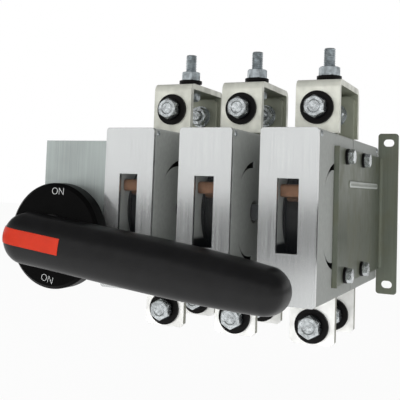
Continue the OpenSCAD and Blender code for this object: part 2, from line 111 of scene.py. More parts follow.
# Points along the lever's spine and over its crown, and across and along the insert
SPINE_STEPS, CROWN_STEPS = 40, 24
INSERT_STEPS = (25, 20)
# In millimetres: the insert's rim and the neck's end lie this deep in the lever, and the neck ends
# this far off the disc
INSERT_SINK, NECK_SINK, NECK_CLEAR = 1.2, 0.5, 0.3


def linear(hex_colour):
    """An sRGB hex colour as linear red, green, blue and alpha."""
    srgb = [int(hex_colour[i : i + 2], 16) / 255 for i in (1, 3, 5)]
    return tuple(c / 12.92 if c <= 0.04045 else ((c + 0.055) / 1.055) ** 2.4 for c in srgb) + (1.0,)


def length_property(name, description, millimetres):
    """A length in the scene's units, given here in millimetres."""
    return FloatProperty(
        name=name, description=description, default=millimetres * MM, unit="LENGTH", min=0.0
    )


def colour_property(name, description, hex_colour):
    """A colour that the user picks, given here as sRGB hex."""
    return FloatVectorProperty(
        name=name,
        description=description,
        default=linear(hex_colour),
        size=4,
        subtype="COLOR",
        min=0.0,
        max=1.0,
    )


class SwitchSizes(bpy.types.PropertyGroup):
    """Small sizes that the finishes and the added pieces use."""

    thread_pitch: length_property("Thread pitch", "Distance between thread crests", 1.5)
    thread_depth: length_property("Thread depth", "Depth of a thread from crest to root", 0.8)
    head_dish: length_property("Head dish", "Depth of the dish in a bolt head", 0.7)
    spring_gap: length_property("Spring washer gap", "Width of the split in a spring washer", 2.2)
    screw_d: length_property("Screw head", "Diameter of the small cover screws", 4.4)
    screw_h: length_property("Screw height", "How far a cover screw stands proud", 1.4)
    letter_h: length_property("Letter height", "Height of the lettering on the disc", 5.8)
    letter_t: length_property("Letter thickness", "How far the lettering stands proud", 0.2)
    lever_side: length_property("Lever side", "Height of the lever's straight sides", 8.0)
    lever_gap: length_property("Lever gap", "Clearance between the disc and the lever", 3.3)
    lever_neck: length_property("Lever neck", "Radius of the neck behind the lever", 17.0)
    insert_end: length_property("Insert end", "Distance from the shaft to the insert's end", 26.0)
    insert_w: length_property("Insert width", "Width of the red insert", 12.5)
    insert_proud: length_property("Insert height", "How far the insert stands proud", 0.35)
    jaw_w: length_property("Contact width", "Width of a fixed contact", 15.0)
    jaw_h: length_property("Contact height", "Height of a fixed contact", 9.5)
    jaw_t: length_property("Contact depth", "Thickness of a fixed contact, front to back", 7.0)
    edge: length_property("Worn edge", "Soft edge of covers, label and contacts", 0.35)
    facets: IntProperty(
        name="Facets", description="Sides of a full turn on round pieces", default=48, min=12
    )


class SwitchColours(bpy.types.PropertyGroup):
    """Colours of the switch's materials."""

    cover: colour_property("Covers", "Satin aluminium pole covers", "#cccece")
    moulding: colour_property("Pole mouldings", "Grey thermoset", "#999c99")
    zinc_sheet: colour_property("Side plates", "Passivated zinc on sheet steel", "#6b7065")
    label: colour_property("Label plate", "Anodised aluminium", "#9aa19f")
    tin: colour_property("Bars", "Tinned copper", "#cbccc2")
    # The lower terminals' tin is painted lighter: painted light from the white floor below
    fresh_tin: colour_property("Lower terminals", "Clean tinned copper", "#f7f7f4")
    bright_zinc: colour_property("Bolts", "Bright zinc", "#c6cbcd")
    dull_zinc: colour_property("Studs", "Dull zinc", "#b6bec2")
    spring_steel: colour_property("Spring washers", "Dark oiled spring steel", "#2c2e31")
    phosphate: colour_property("Flat washers", "Black phosphated steel", "#070606")
    copper: colour_property("Contacts", "Bare copper", "#926c51")
    drum: colour_property("Drums", "Black phenolic", "#1b1b1b")
    rod: colour_property("Shafts and spacers", "Dark grey nylon", "#3f4143")
    pane: colour_property("Windows", "Smoke left in the clear panes", "#15181a")
    disc: colour_property("Position disc", "Black nylon", "#040404")
    lever: colour_property("Lever", "Black glass-filled nylon", "#09090a")
    insert: colour_property("Insert", "Red ABS", "#a72710")
    print: colour_property("Lettering", "Pale printing ink", "#b4b6b6")
    floor: colour_property("Floor", "Studio floor", "#f4f4f3")


# ---- Surfaces ----


def about_z(radius, angle, height):
    """Points about +Z: x is the radius times the angle's cosine, and y times its sine."""
    return np.stack([radius * np.cos(angle), radius * np.sin(angle), height + 0 * angle], -1)


def turned(profile, facets):
    """Each (radius, height) pair of the profile swept through a full turn about +Z."""
    profile = np.asarray(profile, float)
    angle = np.linspace(0, 2 * math.pi, facets + 1)
    return about_z(profile[:, :1], angle, profile[:, 1:])


def hexagonal(profile, across_flats, facets):
    """As turned(), with each point's radius held inside a hexagon of that width across flats.

    Where the profile's own radius is the smaller, as on a chamfer, the turned shape shows.
    """
    profile = np.asarray(profile, float)
    angle = np.linspace(0, 2 * math.pi, facets + 1)
    from_flat = np.mod(angle + math.pi / 6, math.pi / 3) - math.pi / 6
    radius = np.minimum(profile[:, :1], across_flats / 2 / np.cos(from_flat))
    return about_z(radius, angle, profile[:, 1:])


def bolt_head(across_flats, height, dish, facets):
    """Hexagon head with a chamfered crown and a shallow round dish, standing on z = 0.

    The crown and the dish's rim and floor are shares of the radius to a flat. The dish's middle
    lies a fifth deeper than the edge of its floor.
    """
    chamfer, crown, rim, floor = 1.4 * MM, 0.95, 0.66, 0.56
    corner_r, flat_r = across_flats / math.sqrt(3), across_flats / 2
    cone = np.linspace(0, 1, 5)[:, None]
    lower, upper = np.array([corner_r, height - chamfer]), np.array([crown * flat_r, height])
    rows = [[0, 0], [corner_r, 0], *(lower + (upper - lower) * cone)]
    rows += [[rim * flat_r, height], [floor * flat_r, height - dish], [0, height - 1.2 * dish]]
    # A multiple of twelve puts a point on every corner and in the middle of every flat
    return hexagonal(rows, across_flats, facets // 12 * 12)


def threaded(radius, length, pitch, depth, facets):
    """A threaded rod from z = 0 to its length.

    The radius falls from crest to root and back once for each pitch, and the pattern climbs one
    pitch in each turn. Near the tip a 45 degree point cuts the crests off.
    """
    steps_per_pitch = 6
    rows = max(int(length / pitch * steps_per_pitch), 3)
    height = np.linspace(0, length, rows)[:, None]
    angle = np.linspace(0, 2 * math.pi, facets + 1)[None, :]
    phase = np.mod(height / pitch - angle / (2 * math.pi), 1)
    flank = np.abs(2 * phase - 1)
    point = radius - depth + (length - height)
    reach = np.minimum(radius - depth * flank, point)
    rod = about_z(reach, angle, height)
    foot, tip = rod[:1] * (0, 0, 1), rod[-1:] * (0, 0, 1)
    return np.concatenate([foot, rod, tip])


def split_ring(inner, outer, thick, gap, facets):
    """A spring washer: a rectangle carried round the axis, open at a slanted split.

    The slant comes from turning the lower face back by half a gap and the upper face on.
    """
    margin = gap / (inner + outer)
    angle = np.linspace(margin, 2 * math.pi - margin, facets)[:, None]
    radius = np.array([inner, outer, outer, inner, inner])[None, :]
    height = np.array([0, 0, thick, thick, 0])[None, :]
    turn = angle + margin * (2 * height / thick - 1)
    ring = about_z(radius, turn, height)
    caps = [np.repeat(end[:, :4].mean(1, keepdims=True), 5, 1) for end in (ring[:1], ring[-1:])]
    return np.concatenate([caps[0], ring, caps[1]])


def rounded_block(low, high, facets):
    """A block along X whose outline in Y-Z is a superellipse of power 4, closed at both ends.

    The outline is centre + half size * sign(cos t) |cos t|^0.5 in Y and the same of sin t in Z.
    Each end is bevelled over a share of the length, to a face of a share of the size.
    """
    bevel, face = 0.06, 0.9
    low, high = np.asarray(low, float), np.asarray(high, float)
    turn = np.linspace(0, 2 * math.pi, facets + 1)
    shape = np.stack([np.cos(turn), np.sin(turn)], -1)
    shape = np.sign(shape) * np.abs(shape) ** 0.5
    middle, half = (low + high)[1:] / 2, (high - low)[1:] / 2
    share = np.array([0.0, face, 1.0, 1.0, face, 0.0])[:, None, None]
    along = np.array([0.0, 0.0, bevel, 1.0 - bevel, 1.0, 1.0])[:, None]
    x = along * (high[0] - low[0]) + low[0]
    outline = middle + half * shape * share
    return np.stack([x + 0 * turn, outline[..., 0], outline[..., 1]], -1)


def crown_height(share, side, rise):
    """Height of a lever's crown where the outline is share = 1 and the spine 0.

    A superellipse of power 2.5: side + rise * (1 - share^2.5)^0.4.
    """
    return side + rise * (1 - np.clip(share, 0, 1) ** 2.5) ** 0.4


def half_width(half_widths, place):
    """Half width at a place along the spine, by a cubic through the stated ones.

    numpy has no spline, and the widths change slowly enough.
    """
    along, half = np.asarray(half_widths, float).T
    return np.polyval(np.polyfit(along, half, 3), place)


def lever_outline(half_widths, facets):
    """Spine points and offsets round a lever's outline.

    half_widths holds (distance along the spine, half width). Both ends are half circles about the
    first and last spine points; between them each offset stands square to the spine.
    """
    stops = np.linspace(half_widths[0][0], half_widths[-1][0], SPINE_STEPS)
    width = half_width(half_widths, stops)
    head = np.linspace(math.pi / 2, 3 * math.pi / 2, facets)
    tip = head - math.pi
    first, last = np.full(facets, stops[0]), np.full(facets, stops[-1])
    head_r, tip_r, level = width[0], width[-1], 0 * width
    spine = np.concatenate([first, stops, last, stops[::-1]])
    out_x = np.concatenate([head_r * np.cos(head), level, tip_r * np.cos(tip), level])
    out_z = np.concatenate([head_r * np.sin(head), -width, tip_r * np.sin(tip), width[::-1]])
    return (np.append(v, v[0]) for v in (spine, out_x, out_z))


def lever_surface(half_widths, profile, facets):
    """A lever: every point is the spine point plus its outline offset times the profile's share.

    profile holds (share, inset, height), where inset moves the point in by a fixed distance.
    """
    spine, out_x, out_z = lever_outline(half_widths, facets)
    share, inset, height = (np.asarray(profile, float)[:, i : i + 1] for i in range(3))
    length = np.hypot(out_x, out_z)
    scale = np.maximum(share - inset / length, 0)
    return np.stack([spine + out_x * scale, out_z * scale, height + 0 * out_x], -1)


def insert_surface(half_widths, end, width, side, rise, proud, facets):
    """The insert: a strip of the lever's crown that runs over the pointer's rolled edge.

    Past the first spine point a row shrinks towards the outline as q from 0 to 1, so that the last
    row lies on the outline whatever its distance from the middle. The strip's rim drops into the
    lever all round.
    """
    start = half_widths[0][0]
    head_r = half_width(half_widths, start)
    across = np.linspace(-0.5, 0.5, INSERT_STEPS[0])[None, :] * width + INSERT_RISE * MM
    straight = np.linspace(end, start, INSERT_STEPS[1])[:, None]
    # Rows close up towards the outline, where the crown rolls over
    q = np.cos(np.linspace(math.pi / 2, 0, facets))[1:, None] ** 0.8
    round_end = start - q * np.sqrt(head_r**2 - across**2)
    x = np.concatenate([straight + 0 * across, round_end])
    z = across + 0 * x
    share = np.hypot(np.minimum(x - start, 0), z) / half_width(half_widths, np.maximum(x, start))
    height = crown_height(share, side, rise) + proud
    x[x < start] -= proud * (share[x < start] ** 2)
    top = np.stack([x, z, height], -1)
    framed = np.pad(top, ((1, 1), (1, 1), (0, 0)), mode="edge")
    sunk = np.pad(np.zeros(top.shape[:2]), 1, constant_values=1.0)
    framed[..., 2] -= sunk * (proud + INSERT_SINK * MM)
    return framed


TURNS = {
    "up": Matrix.Identity(3),
    "down": Matrix.Rotation(math.pi, 3, "X"),
    "front": Matrix.Rotation(math.pi / 2, 3, "X"),
    "back": Matrix.Rotation(-math.pi / 2, 3, "X"),
    "right": Matrix.Rotation(math.pi / 2, 3, "Y"),
    "left": Matrix.Rotation(-math.pi / 2, 3, "Y"),
}


def placed(surface, facing, place):
    """A surface drawn about +Z, turned to face a way and moved to its place."""
    return surface @ np.array(TURNS[facing]).T + np.asarray(place)


def grid_faces(shape, first):
    """Four-sided faces of a grid of points, numbered from first."""
    index = np.arange(shape[0] * shape[1]).reshape(shape[:2]) + first
    corners = [index[:-1, :-1], index[:-1, 1:], index[1:, 1:], index[1:, :-1]]
    return np.stack(corners, -1).reshape(-1, 4)


def add_piece(name, surfaces, material, body, slot, replaces=None, sharp=35):
    """Joins surfaces into one mesh object, closes its seams and ties it to its body."""
    starts = np.cumsum([0] + [s.shape[0] * s.shape[1] for s in surfaces])
    points = np.concatenate([s.reshape(-1, 3) for s in surfaces])
    faces = np.concatenate([grid_faces(s.shape, f) for s, f in zip(surfaces, starts)])
    mesh = bpy.data.meshes.new(name)
    mesh.from_pydata(points.tolist(), [], faces.tolist())
    return finish_piece(mesh, name, material, body, replaces, sharp)


def finish_piece(mesh, name, material, body, replaces=None, sharp=35):
    """Merges doubles, points the faces outwards, shades, and rides the piece on its body.

    Faces that meet at more than sharp degrees keep their edge.
    """
    weld = 0.005 * MM
    work = bmesh.new()
    work.from_mesh(mesh)
    bmesh.ops.remove_doubles(work, verts=work.verts, dist=weld)
    bmesh.ops.recalc_face_normals(work, faces=work.faces)
    work.to_mesh(mesh)
    work.free()
    mesh.shade_smooth()
    mesh.set_sharp_from_angle(angle=math.radians(sharp))
    mesh.materials.append(material)
    piece = bpy.data.objects.new(name, mesh)
    bpy.context.scene.collection.objects.link(piece)
    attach(piece, body)
    if replaces:
        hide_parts(replaces)
    return piece


def corner(node, near_x, above=None, front=None):
    """Lowest and highest corners of what a node has at one pole, above or below, front or rear."""
    mesh = frame["nodes"][node].data
    points = np.empty(len(mesh.vertices) * 3)
    mesh.vertices.foreach_get("co", points)
    points = points.reshape(-1, 3)
    keep = np.abs(points[:, 0] - near_x) < pole_reach
    if above is not None:
        keep &= (points[:, 2] > 0) == above
    if front is not None:
        keep &= (points[:, 1] < mid_y) == front
    return points[keep].min(0), points[keep].max(0)


def centre(box):
    """Middle of a box given as its lowest and highest corners."""
    return (Vector(box[0]) + Vector(box[1])) / 2


# Places shared by several pieces
pole_x = [centre(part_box(f"front_cover_{i}")).x for i in POLES]
pole_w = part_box("front_pole_1")[1].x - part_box("front_pole_1")[0].x
pole_reach = (pole_x[1] - pole_x[0]) / 2
mid_y = centre(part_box("bridge_bar_1")).y
rotor = centre(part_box("front_drums"))
shaft = Vector(frame["joints"][0]["pos_m"])
# Half the thickness of the bolts and studs
bolt_r = 5.0 * MM
bar_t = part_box("front_lower_terminals")[1].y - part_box("front_lower_terminals")[0].y
plate_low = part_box("right_side_plate")[0]
# The side plates' sheet and its outer faces
plate_t = 2.0 * MM
right_face = plate_low.x + plate_t
left_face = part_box("left_side_plate")[1].x - plate_t


# ---- Materials ----

# Stains, wear, painted shade and a painted highlight over the base colours
# Soot in the poles' hollows, darkened further as painted shade
SOOT_AND_SHADE = "#121212"
CHROMATE_STAIN = "#66664f"
# A painted highlight on the side plates' pressed rib
RIB_HIGHLIGHT = "#d5d9d6"
# Painted shade on the inner faces of the bridging bars
BAR_INNER_SHADE = "#979a8b"
# Dull sheared edges of the lower terminals, darkened further as painted shade
SHEARED_EDGE_AND_SHADE = "#8a8b7f"
BURNT_COPPER = "#6b4a36"

# Soot and painted shade on the poles, and painted light in the contact chamber: where each soft
# edge starts and ends. The vents are a band round the rotor's axis under the side faces; the
# contact chamber lies about the pole's middle.
VENT_DEPTH = (1.2 * MM, 0.3 * MM)
VENT_INNER = (20.0 * MM, 21.0 * MM)
VENT_OUTER = (42.0 * MM, 42.5 * MM)
CHAMBER_HALF_WIDTH = (9.0 * MM, 9.5 * MM)
CHAMBER_HALF_HEIGHT = 29 * MM
CHAMBER_FLOOR = (-21.5 * MM, -19.0 * MM)

# The side plates' pressed rib, which carries a painted highlight: its height off the web at the
# flank and the crown, its distance from the plate's ends, and its lower and upper edge
RIB_FLANK = (0.4 * MM, 0.8 * MM)
RIB_CROWN = (1.2 * MM, 1.45 * MM)
RIB_END = 8 * MM
RIB_LEVELS = (18 * MM, 32 * MM)


def per_mm(millimetres):
    """Noise scale whose features are about that many millimetres wide."""
    return 1 / (millimetres * MM)


def add(tree, kind, sockets=(), **settings):
    """Adds a node, sets its settings, and fills or links its inputs, by name or in order.

    A node given as a value stands for its first output in use.
    """
    made = tree.nodes.new(kind)
    for name, value in settings.items():
        setattr(made, name, value)
    inputs = sockets if isinstance(sockets, dict) else dict(enumerate(sockets))
    for name, value in inputs.items():
        if isinstance(value, bpy.types.Node):
            value = next(socket for socket in value.outputs if socket.enabled)
        if isinstance(value, bpy.types.NodeSocket):
            tree.links.new(value, made.inputs[name])
        else:
            made.inputs[name].default_value = value
    return made


def new_material(name, colour_name):
    """An empty material: returns it, its tree, its Object coordinates and its colour."""
    material = bpy.data.materials.new(name)
    material.use_nodes = True
    tree = material.node_tree
    tree.nodes.clear()
    where = add(tree, "ShaderNodeTexCoord").outputs["Object"]
    return material, tree, where, getattr(bpy.context.scene.switch_colours, colour_name)


def coated(material, sockets):
    """Gives a material its Principled surface with those sockets, and returns the material."""
    tree = material.node_tree
    shader = add(tree, "ShaderNodeBsdfPrincipled", sockets)
    add(tree, "ShaderNodeOutputMaterial", {"Surface": shader}, target="ALL")
    return material


def stretched_noise(tree, where, size, detail=3.0):
    """Noise whose features are size = (x, y, z) millimetres, from 0 to 1."""
    scaled = add(tree, "ShaderNodeMapping", {"Vector": where, "Scale": [per_mm(s) for s in size]})
    return add(tree, "ShaderNodeTexNoise", {"Vector": scaled, "Scale": 1.0, "Detail": detail})


def distance_from(tree, value, middle):
    """How far a value lies from a middle, to either side."""
    off = add(tree, "ShaderNodeMath", (value, middle), operation="SUBTRACT")
    return add(tree, "ShaderNodeMath", (off,), operation="ABSOLUTE")


def shaded(colour, factor):
    """A linear colour made lighter or darker by a factor."""
    return tuple(min(c * factor, 1.0) for c in colour[:3]) + (1.0,)


def varied(tree, pattern, low, high, colour, first, second):
    """A colour that goes from one shade of itself to another as a pattern goes from low to high."""
    share = add(tree, "ShaderNodeMapRange", (pattern, low, high))
    shades = {0: share, 6: shaded(colour, first), 7: shaded(colour, second)}
    return add(tree, "ShaderNodeMix", shades, data_type="RGBA")


def relief(tree, height, depth, edge=None):
    """A normal with softened edges and fine relief, both sizes in millimetres."""
    radius = bpy.context.scene.switch_sizes.edge if edge is None else edge * MM
    soft = add(tree, "ShaderNodeBevel", {"Radius": radius}, samples=4)
    bump = {"Height": height, "Distance": depth * MM, "Normal": soft}
    return add(tree, "ShaderNodeBump", bump)


def brushed(tree, where, colour, line, cloud, contrast, dark, light):
    """Brush lines as noise, and a colour varied by them and by larger clouds.

    Real lines are under 0.1 mm wide; these are as coarse as they need to be to show.
    """
    lines = stretched_noise(tree, where, line)
    clouds = stretched_noise(tree, where, cloud, 2.0)
    tone = add(tree, "ShaderNodeMapRange", (lines, 0.3, 0.7, -contrast, contrast))
    both = add(tree, "ShaderNodeMath", (clouds, tone), operation="ADD")
    return lines, varied(tree, both, 0.1, 0.9, colour, dark, light)


def satin_aluminium():
    """Brushed and clear-lacquered aluminium: fine upright lines and broad soft reflections."""
    material, tree, where, colour = new_material("satin_aluminium", "cover")
    sizes = ((0.6, 0.6, 60.0), (30.0, 30.0, 45.0))
    lines, tint = brushed(tree, where, colour, *sizes, 0.3, 0.93, 1.05)
    rough = add(tree, "ShaderNodeMapRange", (lines, 0.3, 0.7, 0.13, 0.18))
    normal = relief(tree, lines, 0.008)
    sockets = {"Base Color": tint, "Metallic": 0.84, "Roughness": rough, "Normal": normal}
    return coated(material, sockets)


def brushed_label():
    """Anodised aluminium label plate: silver grey, brushed upright, greener and flatter."""
    material, tree, where, colour = new_material("anodised_label", "label")
    sizes = ((0.9, 0.9, 80.0), (22.0, 22.0, 30.0))
    lines, tint = brushed(tree, where, colour, *sizes, 0.25, 0.87, 1.15)
    normal = relief(tree, lines, 0.02)
    sockets = {"Base Color": tint, "Metallic": 0.5, "Roughness": 0.42, "Normal": normal}
    return coated(material, sockets)


def grey_thermoset():
    """Compression-moulded glass-polyester: light grey, faintly mottled, with arc vents darkened
    by soot and painted shade.

    Inside the contact chamber the moulding is painted lighter, as painted light, and its floor is
    darkened by soot and painted shade.
    """
    material, tree, where, colour = new_material("grey_thermoset", "moulding")
    mottle = stretched_noise(tree, where, (3.5, 3.5, 3.5), 5.0)
    moulding = varied(tree, mottle, 0.3, 0.7, colour, 0.93, 1.06)
    x, y, z = add(tree, "ShaderNodeSeparateXYZ", (where,)).outputs
    # Distance in X from the nearest pole's centre plane
    pitch = pole_x[1] - pole_x[0]
    from_first = add(tree, "ShaderNodeMath", (x, pole_x[0] - pitch / 2), operation="SUBTRACT")
    wrapped = add(tree, "ShaderNodeMath", (from_first, pitch), operation="FLOORED_MODULO")
    side = distance_from(tree, wrapped, pitch / 2)
    deep, shallow = (pole_w / 2 - depth for depth in VENT_DEPTH)
    inside = add(tree, "ShaderNodeMapRange", (side, deep, shallow, 1.0, 0.0))
    beyond = add(tree, "ShaderNodeMapRange", (side, *CHAMBER_HALF_WIDTH))
    # The rear row mirrors the front one, so y is measured from the middle plane
    behind = distance_from(tree, y, mid_y)
    to_axis = add(tree, "ShaderNodeMath", (behind, mid_y - rotor.y), operation="SUBTRACT")
    across = add(tree, "ShaderNodeCombineXYZ", (to_axis, z))
    radius = add(tree, "ShaderNodeVectorMath", (across,), operation="LENGTH")
    outer = add(tree, "ShaderNodeMapRange", (radius, *VENT_OUTER, 1.0, 0.0))
    inner = add(tree, "ShaderNodeMapRange", (radius, *VENT_INNER))
    band = add(tree, "ShaderNodeMath", (outer, inner), operation="MULTIPLY")
    flanks = add(tree, "ShaderNodeMath", (inside, beyond), operation="MULTIPLY")
    vents = add(tree, "ShaderNodeMath", (flanks, band), operation="MULTIPLY")
    level = add(tree, "ShaderNodeMath", (z,), operation="ABSOLUTE")
    high_up = add(tree, "ShaderNodeMath", (level, CHAMBER_HALF_HEIGHT), operation="GREATER_THAN")
    outside = add(tree, "ShaderNodeMath", (beyond, high_up), operation="MAXIMUM")
    low_in_chamber = add(tree, "ShaderNodeMapRange", (z, *CHAMBER_FLOOR, 1.0, 0.0))
    within = add(tree, "ShaderNodeMath", (1.0, outside), operation="SUBTRACT")
    on_floor = add(tree, "ShaderNodeMath", (low_in_chamber, within), operation="MULTIPLY")
    # Soot and painted shade: in the vent hollows and on the chamber's floor
    soot_and_shade = add(tree, "ShaderNodeMath", (vents, on_floor), operation="MAXIMUM")
    # Inside the contact chamber the moulding is painted lighter: painted light for the dim chamber
    layers = {0: outside, 6: shaded(colour, 1.6), 7: moulding}
    chamber_painted_light = add(tree, "ShaderNodeMix", layers, data_type="RGBA")
    tint = add(tree, "ShaderNodeMix", {0: soot_and_shade, 6: chamber_painted_light, 7: linear(SOOT_AND_SHADE)}, data_type="RGBA")
    normal = relief(tree, stretched_noise(tree, where, (1.2, 1.2, 1.2), 4.0), 0.03, 0.8)
    sockets = {"Base Color": tint, "Roughness": 0.6, "Specular IOR Level": 0.3, "Normal": normal}
    return coated(material, sockets)


def zinc_sheet():
    """Pressed sheet steel with passivated zinc: grey-green with soft drawn streaks and stains.

    The pressed rib stands proud of the web, and its flanks and crown carry a painted highlight.
    """
    material, tree, where, colour = new_material("passivated_zinc_sheet", "zinc_sheet")
    streaks = stretched_noise(tree, where, (2.0, 2.0, 45.0), 4.0)
    stains = stretched_noise(tree, where, (16.0, 16.0, 22.0), 4.0)
    drawn = varied(tree, streaks, 0.3, 0.7, colour, 0.9, 1.08)
    share = add(tree, "ShaderNodeMapRange", (stains, 0.45, 0.75, 0.0, 0.5))
    layers = {0: share, 6: drawn, 7: linear(CHROMATE_STAIN)}
    stains_and_shade = add(tree, "ShaderNodeMix", layers, data_type="RGBA")
    x, y, z = add(tree, "ShaderNodeSeparateXYZ", (where,)).outputs
    middle, half = (left_face + right_face) / 2, (right_face - left_face) / 2
    side = distance_from(tree, x, middle)
    # A painted highlight on the rib's flanks and crown, between its ends and its edges
    flank, crown = ([half + height for height in step] for step in (RIB_FLANK, RIB_CROWN))
    rise = add(tree, "ShaderNodeMapRange", (side, *flank))
    top = add(tree, "ShaderNodeMapRange", (side, *crown, 0.8, 0.3))
    rib_highlight = add(tree, "ShaderNodeMath", (rise, top), operation="MULTIPLY")
    for value, (low, high) in ((y, (plate_low.y + RIB_END, -RIB_END)), (z, RIB_LEVELS)):
        for limit, test in ((low, "GREATER_THAN"), (high, "LESS_THAN")):
            within = add(tree, "ShaderNodeMath", (value, limit), operation=test)
            rib_highlight = add(tree, "ShaderNodeMath", (rib_highlight, within), operation="MULTIPLY")
    tint = add(tree, "ShaderNodeMix", {0: rib_highlight, 6: stains_and_shade, 7: linear(RIB_HIGHLIGHT)}, data_type="RGBA")
    sockets = {
        "Base Color": tint,
        "Metallic": 0.45,
        "Roughness": add(tree, "ShaderNodeMapRange", (stains, 0.3, 0.7, 0.32, 0.5)),
        "Specular IOR Level": 0.3,
        "Normal": relief(tree, streaks, 0.03, 0.9),
    }
    return coated(material, sockets)


def tinned_copper(name, colour_name):
    """Hot-tinned copper bar: creamy white satin metal with dull patches and faint rolling lines."""
    material, tree, where, colour = new_material(name, colour_name)
    patches = stretched_noise(tree, where, (11.0, 11.0, 14.0), 4.0)
    lines = stretched_noise(tree, where, (0.9, 0.9, 25.0))
    tinned = varied(tree, patches, 0.35, 0.7, colour, 1.08, 0.84)
    y, z = add(tree, "ShaderNodeSeparateXYZ", (where,)).outputs[1:]
    # The inner faces of the bridging bars, down to just below the legs' ends, get painted shade
    skin, soft, below = 0.1 * MM, 0.2 * MM, 3 * MM
    low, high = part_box("bridge_bar_1")
    reach, web = (high.y - low.y) / 2 - bar_t + skin, high.z - bar_t
    side = distance_from(tree, y, mid_y)
    between = add(tree, "ShaderNodeMapRange", (side, reach, reach + soft, 1.0, 0.0))
    under = add(tree, "ShaderNodeMapRange", (z, web, web + soft, 1.0, 0.0))
    over = add(tree, "ShaderNodeMath", (z, low.z - below), operation="GREATER_THAN")
    within = add(tree, "ShaderNodeMath", (between, under), operation="MULTIPLY")
    dull = add(tree, "ShaderNodeMath", (within, over), operation="MULTIPLY")
    layers = {0: dull, 6: tinned, 7: linear(BAR_INNER_SHADE)}
    stains_and_shade = add(tree, "ShaderNodeMix", layers, data_type="RGBA")
    # The lower terminals were sheared after tinning: the sides that face along X are darker, as
    # dull cut edges and painted shade
    normal = add(tree, "ShaderNodeNewGeometry").outputs["True Normal"]
    across = add(tree, "ShaderNodeSeparateXYZ", (normal,)).outputs[0]
    sideways = add(tree, "ShaderNodeMath", (across,), operation="ABSOLUTE")
    facing = add(tree, "ShaderNodeMapRange", (sideways, 0.8, 0.95))
    lower = add(tree, "ShaderNodeMath", (z, 0.0), operation="LESS_THAN")
    cut_edge_and_shade = add(tree, "ShaderNodeMath", (facing, lower), operation="MULTIPLY")
    layers = {0: cut_edge_and_shade, 6: stains_and_shade, 7: linear(SHEARED_EDGE_AND_SHADE)}
    sockets = {
        "Base Color": add(tree, "ShaderNodeMix", layers, data_type="RGBA"),
        "Metallic": 0.45,
        "Roughness": add(tree, "ShaderNodeMapRange", (patches, 0.3, 0.7, 0.28, 0.48)),
        "Normal": relief(tree, lines, 0.02, 0.5),
    }
    return coated(material, sockets)


def plated_steel(name, colour_name, roughness):
    """Steel fastener, zinc-plated or oiled dark: metallic, blotchy, with coarse tool marks."""
    material, tree, where, colour = new_material(name, colour_name)
    marks = stretched_noise(tree, where, (2.6, 2.6, 2.6), 3.0)
    dull = stretched_noise(tree, where, (3.5, 3.5, 3.5), 3.0)
    rough = add(tree, "ShaderNodeMapRange", (dull, 0.3, 0.7, roughness, roughness + 0.16))
    sockets = {
        "Base Color": varied(tree, dull, 0.35, 0.65, colour, 1.2, 0.74),
        "Metallic": 0.9,
        "Roughness": rough,
        "Normal": relief(tree, marks, 0.32, 0.25),
    }
    return coated(material, sockets)


def moulded(
    name, colour_name, roughness, grain=0.6, depth=0.03, contrast=0.12, edge=0.4, gloss=0.5
):
    """A dark or coloured surface with a fine even grain and a slight variation of tone.

    Grain, its depth and the soft edge are in millimetres; the contrast is a share of the colour.
    """
    material, tree, where, colour = new_material(name, colour_name)
    tone = stretched_noise(tree, where, (9.0, 9.0, 9.0), 3.0)
    grains = stretched_noise(tree, where, (grain, grain, grain), 2.0)
    sockets = {
        "Base Color": varied(tree, tone, 0.3, 0.7, colour, 1 + contrast, 1 - contrast),
        "Roughness": roughness,
        "Specular IOR Level": gloss,
        "Normal": relief(tree, grains, depth, edge),
    }
    return coated(material, sockets)


def bare_copper():
    """Bare copper contact, dull and slightly browned by arcing."""
    material, tree, where, colour = new_material("bare_copper", "copper")
    burn = stretched_noise(tree, where, (4.0, 4.0, 4.0), 4.0)
    share = add(tree, "ShaderNodeMapRange", (burn, 0.4, 0.75))
    layers = {0: share, 6: colour, 7: linear(BURNT_COPPER)}
    tint = add(tree, "ShaderNodeMix", layers, data_type="RGBA")
    normal = relief(tree, burn, 0.03)
    sockets = {"Base Color": tint, "Metallic": 0.6, "Roughness": 0.38, "Normal": normal}
    return coated(material, sockets)


def clear_window():
    """Clear polycarbonate pane: almost all light passes, and a little gloss is left."""
    material, tree, where, colour = new_material("clear_polycarbonate", "pane")
    haze = stretched_noise(tree, where, (8.0, 8.0, 8.0), 2.0)
    rough = add(tree, "ShaderNodeMapRange", (haze, 0.3, 0.7, 0.05, 0.12))
    sockets = {"Base Color": colour, "IOR": 1.58, "Alpha": 0.14, "Roughness": rough}
    return coated(material, sockets)


MADE = {}


def finish(name):
    """The named material, made once."""
    if name not in MADE:
        MADE[name] = FINISHES[name]()
    return MADE[name]


